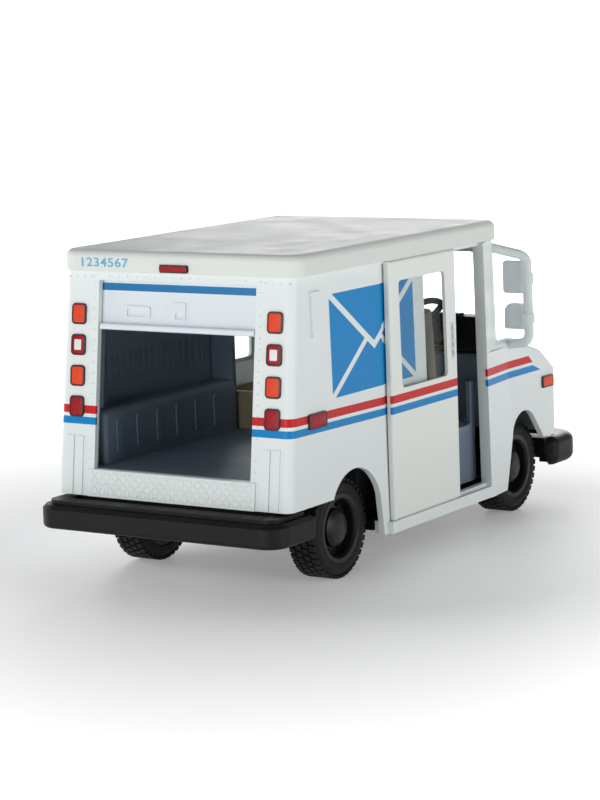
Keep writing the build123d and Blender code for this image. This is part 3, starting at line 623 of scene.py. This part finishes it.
def brake_lamp():
    """The high red lamp let into the rear of the roof cap, in its dark frame."""
    low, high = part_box("brake_lamp")
    centre = (low + high) / 2
    place = Place(Vector((low.x, centre.y, centre.z)), (0, -1, 0), (0, 0, 1))
    width, height = (high.y - low.y) / MM, (high.z - low.z) / MM
    lens, rim = Sheet(), Sheet()
    corner = 0.4
    crown = ((0, -0.5), (0, -0.06), (0.16, 0.0), (0.4, 0.03))
    edge = ((-0.02, -0.3), (-0.02, 0.0), (0.06, 0.07), (0.2, 0.06), (0.24, -0.04))
    rounded_plate(lens, place, width, height, corner, crown)
    rounded_plate(rim, place, width, height, corner, edge, ring=True)
    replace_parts(lens.piece("brake_lamp_lens", materials["lamp_red"], "van", "lamp_red"), "brake_lamp")
    rim.piece("brake_lamp_frame", dark_print, "van", "base_black")


def fleet_number():
    """Plain counting digits on the rear of the roof cap."""
    curve = bpy.data.curves.new("fleet_number", "FONT")
    curve.body = "1234567"
    curve.size = 2.3 * MM
    curve.offset = 0.045 * MM
    curve.extrude = 0.02 * MM
    curve.space_character = 1.12
    curve.align_x = "CENTER"
    curve.align_y = "CENTER"
    text = bpy.data.objects.new("fleet_number_source", curve)
    bpy.context.scene.collection.objects.link(text)
    cap_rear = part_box("roof_cap")[0].x
    number_y, number_z, number_out = 16.2, 60.85, 0.01
    centre = Vector((cap_rear - number_out * MM, number_y * MM, number_z * MM))
    wide = 1.28
    turned = Matrix(((0, 0, -1), (-wide, 0, 0), (0, 1, 0))).to_4x4()
    text.matrix_world = Matrix.Translation(centre) @ turned
    bpy.context.view_layer.update()
    mesh = bpy.data.meshes.new_from_object(text.evaluated_get(bpy.context.evaluated_depsgraph_get()))
    mesh.transform(text.matrix_world)
    bpy.data.objects.remove(text)
    built = bpy.data.objects.new("fleet_number", mesh)
    bpy.context.scene.collection.objects.link(built)
    finish_piece(built, blue_print, "van", 30)


# ------------------------------------------------------------------ sides
# Each marker lamp's node, its slot, and its rear, front, lower and upper edge.
SIDE_LAMPS = (
    ("rear_side_lamps", "lamp_red", 7.4, 13.5, 30.9, 33.8),
    ("front_side_lamps", "lamp_amber", 100.2, 105.1, 25.5, 28.0),
)


def side_lamps():
    """The red rear and amber front marker lamps, both sides, in dark frames."""
    rims = Sheet()
    corner = 0.5
    crown = ((0, 0.0), (0, 0.26), (0.1, 0.34), (0.4, 0.38), (0.9, 0.42))
    edge = ((-0.02, 0.0), (-0.02, 0.32), (0.06, 0.43), (0.28, 0.43), (0.36, 0.35), (0.3, 0.1))
    for node, slot, x0, x1, z0, z1 in SIDE_LAMPS:
        lenses = Sheet()
        for side in (-1, 1):
            place = on_side((x0 + x1) / 2, (z0 + z1) / 2, side)
            rounded_plate(lenses, place, x1 - x0, z1 - z0, corner, crown)
            rounded_plate(rims, place, x1 - x0, z1 - z0, corner, edge, ring=True)
        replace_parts(lenses.piece(node + "_lens", materials[slot], "van", slot), node)
    rims.piece("side_lamp_frames", dark_print, "van", "base_black")


def door_latches():
    """The latch plate near each side door's front edge: right one open, left one shut."""
    latch_x, latch_z = 60.15, 40.9
    plate_wide, plate_high, plate_corner = 1.25, 7.2, 0.25
    mark_wide, mark_high, mark_corner = 0.7, 1.1, 0.15
    mark_count, mark_pitch, top_mark = 4, 1.6, 2.4
    for side, body, shift in ((-1, "right_door", 0.0), (1, "left_door", DOOR_TRAVEL)):
        plate, marks = Sheet(), Sheet()
        place = on_side(latch_x + shift, latch_z, side, DOOR_THICK)
        plate_layers = ((0, -0.02), (0, 0.04), (0.06, 0.06))
        rounded_plate(plate, place, plate_wide, plate_high, plate_corner, plate_layers)
        for i in range(mark_count):
            rounded_plate(
                marks, place, mark_wide, mark_high, mark_corner, ((0, 0.05), (0.03, 0.09)),
                shift=(0, top_mark - mark_pitch * i),
            )
        plate.piece(body + "_latch_plate", pale_print, body, "door_ivory")
        marks.piece(body + "_latch_marks", grey_print, body, "base_black")


# ------------------------------------------------------------------ wheels
TYRE_RADIUS, RIM_RADIUS, TYRE_OUTER, TYRE_WIDTH = 9.66, 6.7, 23.65, 6.4


def lathe(sheet, profile, centre, side, around=96):
    """Turn (radius, distance out from the toy's middle) pairs about a wheel's axle."""
    loops = []
    for radius, out in profile:
        loops.append(sheet.loop([
            centre + Vector((
                radius * cos(2 * pi * i / around), side * out, radius * sin(2 * pi * i / around)
            )) * MM
            for i in range(around)
        ]))
    sheet.stack(loops, ring=True)


def tread_block(sheet, centre, side, angle, span, out, width, skew):
    """One tread block: its foot in the carcass, its top rounded to the tyre's radius."""
    deep, high, bevel = TYRE_RADIUS - 0.6, TYRE_RADIUS - 0.01, 0.07
    loops = []
    for radius, inset in ((deep, 0.0), (high - bevel, 0.0), (high, bevel)):
        turn = span / 2 - inset / TYRE_RADIUS
        half = width / 2 - inset
        rim = []
        for u, v in ((-1, -1), (0, -1), (1, -1), (1, 1), (0, 1), (-1, 1)):
            a = angle + u * turn + v * skew
            rim.append(centre + Vector((radius * cos(a), side * (out + v * half), radius * sin(a))) * MM)
        loops.append(sheet.loop(rim))
    sheet.stack(loops)


def tyre(node, body):
    """A carcass turned about the axle, with four rows of tread blocks."""
    low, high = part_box(node)
    centre = Vector(((low.x + high.x) / 2, 0, (low.z + high.z) / 2))
    side = 1 if low.y > 0 else -1
    inner, outer = TYRE_OUTER - TYRE_WIDTH, TYRE_OUTER
    carcass = TYRE_RADIUS - 0.42
    made = Sheet()
    lathe(made, (
        (RIM_RADIUS, inner + 0.5),
        (RIM_RADIUS + 0.2, inner + 0.12),
        (RIM_RADIUS + 1.1, inner),
        (carcass - 0.75, inner + 0.18),
        (carcass - 0.18, inner + 0.6),
        (carcass, inner + 1.2),
        (carcass, outer - 1.2),
        (carcass - 0.18, outer - 0.6),
        (carcass - 0.62, outer - 0.22),
        (carcass - 0.8, outer - 0.2),
        (carcass - 0.86, outer - 0.1),
        (RIM_RADIUS + 1.25, outer),
        (RIM_RADIUS + 0.75, outer),
        (RIM_RADIUS + 0.66, outer - 0.1),
        (RIM_RADIUS + 0.35, outer - 0.12),
        (RIM_RADIUS + 0.05, outer - 0.3),
        (RIM_RADIUS, outer - 0.5),
    ), centre, side)
    blocks, filled, skew = 40, 0.72, 0.012
    span = 2 * pi / blocks * filled
    # Each row of blocks: its distance in from the inner wall, its width and its offset.
    for from_wall, width, offset in ((1.0, 1.25, 0.0), (2.47, 1.2, 0.5), (3.93, 1.2, 0.0), (5.4, 1.25, 0.5)):
        for i in range(blocks):
            angle = 2 * pi * (i + offset) / blocks
            tread_block(made, centre, side, angle, span, inner + from_wall, width, skew)
    piece = made.piece(node + "_treaded", materials["tyre_black"], body, "tyre_black")
    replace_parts(piece, node)


def tyres():
    for end in ("front", "rear"):
        for side in ("left", "right"):
            tyre(end + "_" + side + "_tyre", end + "_wheels")


# ------------------------------------------------------------------ front
def headlamps():
    """A silvered, slightly crowned lens in a black ring, on each wing."""
    low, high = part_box("headlamps")
    radius = (high.z - low.z) / 2 / MM
    lenses, rings = Sheet(), Sheet()
    for side in (-1, 1):
        y = side * (high.y / MM - radius)
        place = Place(Vector((high.x, y * MM, (low.z + high.z) / 2)), (0, 1, 0), (0, 0, 1))
        ring_wide = 0.3
        size = 2 * (radius - ring_wide)
        rounded_plate(
            lenses, place, size, size, size / 2,
            ((0, -2.2), (0, -0.32), (0.12, -0.2), (0.5, -0.08), (1.0, -0.02), (1.5, 0.0)),
        )
        rounded_plate(
            rings, place, 2 * radius, 2 * radius, radius,
            ((0, -2.2), (0, -0.5), (0.1, -0.3), (0.3, -0.28), (0.36, -0.4), (0.36, -2.0)), ring=True,
        )
    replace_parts(lenses.piece("headlamp_lenses", silver, "van", "lamp_clear"), "headlamps")
    rings.piece("headlamp_rings", dark_print, "van", "base_black")


# ------------------------------------------------------------------ stage
def stage():
    """A pale floor that glows away from the toy and curves up into a backdrop behind it."""
    shader = Shader("studio_floor", 0.6)
    shader.surface.inputs["Emission Color"].default_value = rgb(1.0, 1.0, 1.0)
    x, y, z = shader.axes()
    squares = shader.math("ADD", shader.math("MULTIPLY", x, x), shader.math("MULTIPLY", y, y))
    away = shader.math("SQRT", squares)
    glow_near, glow_far = 70 * MM, 190 * MM
    fade_low, fade_high = 150 * MM, 420 * MM
    # The glow is weaker near the toy, so the floor round it stays darker: painted shade round the toy and
    # its shadow.
    glow = shader.spread(away, 0.2, 0.8, glow_near, glow_far)
    low_down = shader.spread(z, 1.0, 0.2, fade_low, fade_high)
    shader.feed(shader.surface.inputs["Emission Strength"], shader.math("MULTIPLY", glow, low_down))
    cloud = shader.spread(shader.noise(0.3, 2.0), 0.0, 1.0)
    shader.color(shader.mix(cloud, rgb(0.9, 0.9, 0.9), rgb(0.885, 0.885, 0.885)))
    sheet = Sheet()
    floor_z = cad_box[0].z / MM
    reach, radius, wide = 900.0, 400.0, 1800.0
    near_end, wall_top, bend_steps = -1500.0, 1600.0, 16
    turn = 0.57
    forward = Vector((cos(turn), sin(turn), 0))
    aside = Vector((-forward.y, forward.x, 0))
    profile = [(near_end, 0.0)]
    for i in range(bend_steps + 1):
        angle = pi / 2 * i / bend_steps
        profile.append((reach + radius * sin(angle), radius * (1 - cos(angle))))
    profile.append((reach + radius, wall_top))
    rows = []
    for run, rise in profile:
        rows.append(sheet.loop([
            (forward * run + aside * wide * end + Vector((0, 0, floor_z + rise))) * MM for end in (-1, 1)
        ]))
    for lower, upper in zip(rows, rows[1:]):
        sheet.faces.append((lower[0], lower[1], upper[1], upper[0]))
    mesh = bpy.data.meshes.new("studio_floor")
    mesh.from_pydata([tuple(point) for point in sheet.points], [], sheet.faces)
    floor = bpy.data.objects.new("studio_floor", mesh)
    bpy.context.scene.collection.objects.link(floor)
    mesh.materials.append(shader.material)
    for polygon in mesh.polygons:
        polygon.use_smooth = True


def area_light(name, place, target, size, power):
    """A white soft box at place, turned to face target."""
    data = bpy.data.lights.new(name, "AREA")
    data.shape = "RECTANGLE"
    data.size, data.size_y = size[0] * MM, size[1] * MM
    data.energy = power
    lamp = bpy.data.objects.new(name, data)
    bpy.context.scene.collection.objects.link(lamp)
    lamp.location = at(*place)
    lamp.rotation_euler = (at(*target) - lamp.location).to_track_quat("-Z", "Y").to_euler()


def lights():
    """A dim pale world and four soft boxes round the toy."""
    bpy.context.scene.view_settings.view_transform = "Standard"
    world = bpy.data.worlds.new("studio")
    bpy.context.scene.world = world
    world.use_nodes = True
    background = world.node_tree.nodes["Background"]
    background.inputs["Color"].default_value = rgb(0.96, 0.98, 1.0)
    background.inputs["Strength"].default_value = 0.12
    middle = (50, 0, 30)
    area_light("key", (-620, 60, 150), middle, (480, 300), 2.0)
    area_light("side_fill", (70, -680, 150), middle, (460, 300), 1.6)
    area_light("front_fill", (660, 230, 200), middle, (420, 300), 1.6)
    area_light("left_fill", (-60, 680, 240), middle, (420, 300), 1.5)


def camera():
    """The viewing angle: behind the right rear corner, a little above the roof."""
    place = at(-380.53, -273.69, 107.48)
    yaw, pitch, roll = 0.5705, -0.1528, -0.0316
    forward = Vector((cos(pitch) * cos(yaw), cos(pitch) * sin(yaw), sin(pitch)))
    level = forward.cross(Vector((0, 0, 1))).normalized()
    upright = level.cross(forward)
    right = level * cos(roll) + upright * sin(roll)
    up = upright * cos(roll) - level * sin(roll)
    data = bpy.data.cameras.new("camera")
    data.lens = 115.0
    data.sensor_width = 36.0
    data.clip_start, data.clip_end = 0.01, 10.0
    built = bpy.data.objects.new("camera", data)
    bpy.context.scene.collection.objects.link(built)
    turned = Matrix((right, up, -forward)).transposed().to_4x4()
    built.matrix_world = Matrix.Translation(place) @ turned
    bpy.context.scene.camera = built


camera()
lights()
stage()
tail_lamps()
rivets()
tread_plate()
brake_lamp()
fleet_number()
side_lamps()
door_latches()
tyres()
headlamps()
